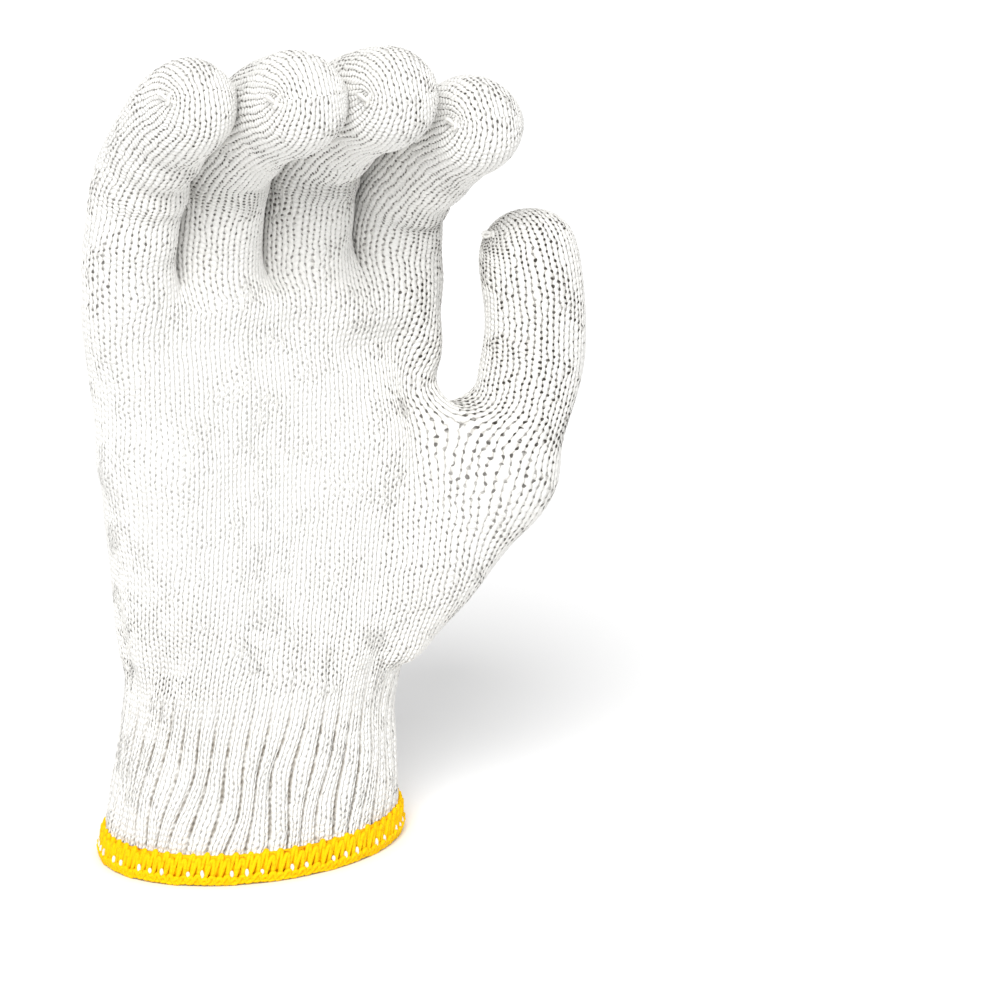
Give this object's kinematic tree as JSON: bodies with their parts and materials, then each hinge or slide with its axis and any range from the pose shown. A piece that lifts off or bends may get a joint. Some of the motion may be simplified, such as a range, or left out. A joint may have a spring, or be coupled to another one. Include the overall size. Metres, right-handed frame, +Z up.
{
  "type": "cotton work glove",
  "caption": "Seamless knitted right-hand work glove, filled as worn with curled fingers, ribbed cuff and overlocked edge, open at the wrist.",
  "frame": {"origin": "middle of the wrist opening at the edge of the cuff, where a wrist goes in", "axes": "+Z up through the hand to the fingers, -Y out of the palm, +X to the thumb's side"},
  "size_m": [0.1121, 0.0758, 0.1933],
  "materials": {
    "knit_cotton": "matt knitted cotton, natural white",
    "overlock_yarn": "matt overlock yarn, yellow"
  },
  "bodies": {
    "root": {"palm_body": "knit_cotton", "little_finger": "knit_cotton", "ring_finger": "knit_cotton", "middle_finger": "knit_cotton", "index_finger": "knit_cotton", "thumb": "knit_cotton", "rib_cuff": "knit_cotton", "edge_overlock": "overlock_yarn"}
  },
  "joints": []
}
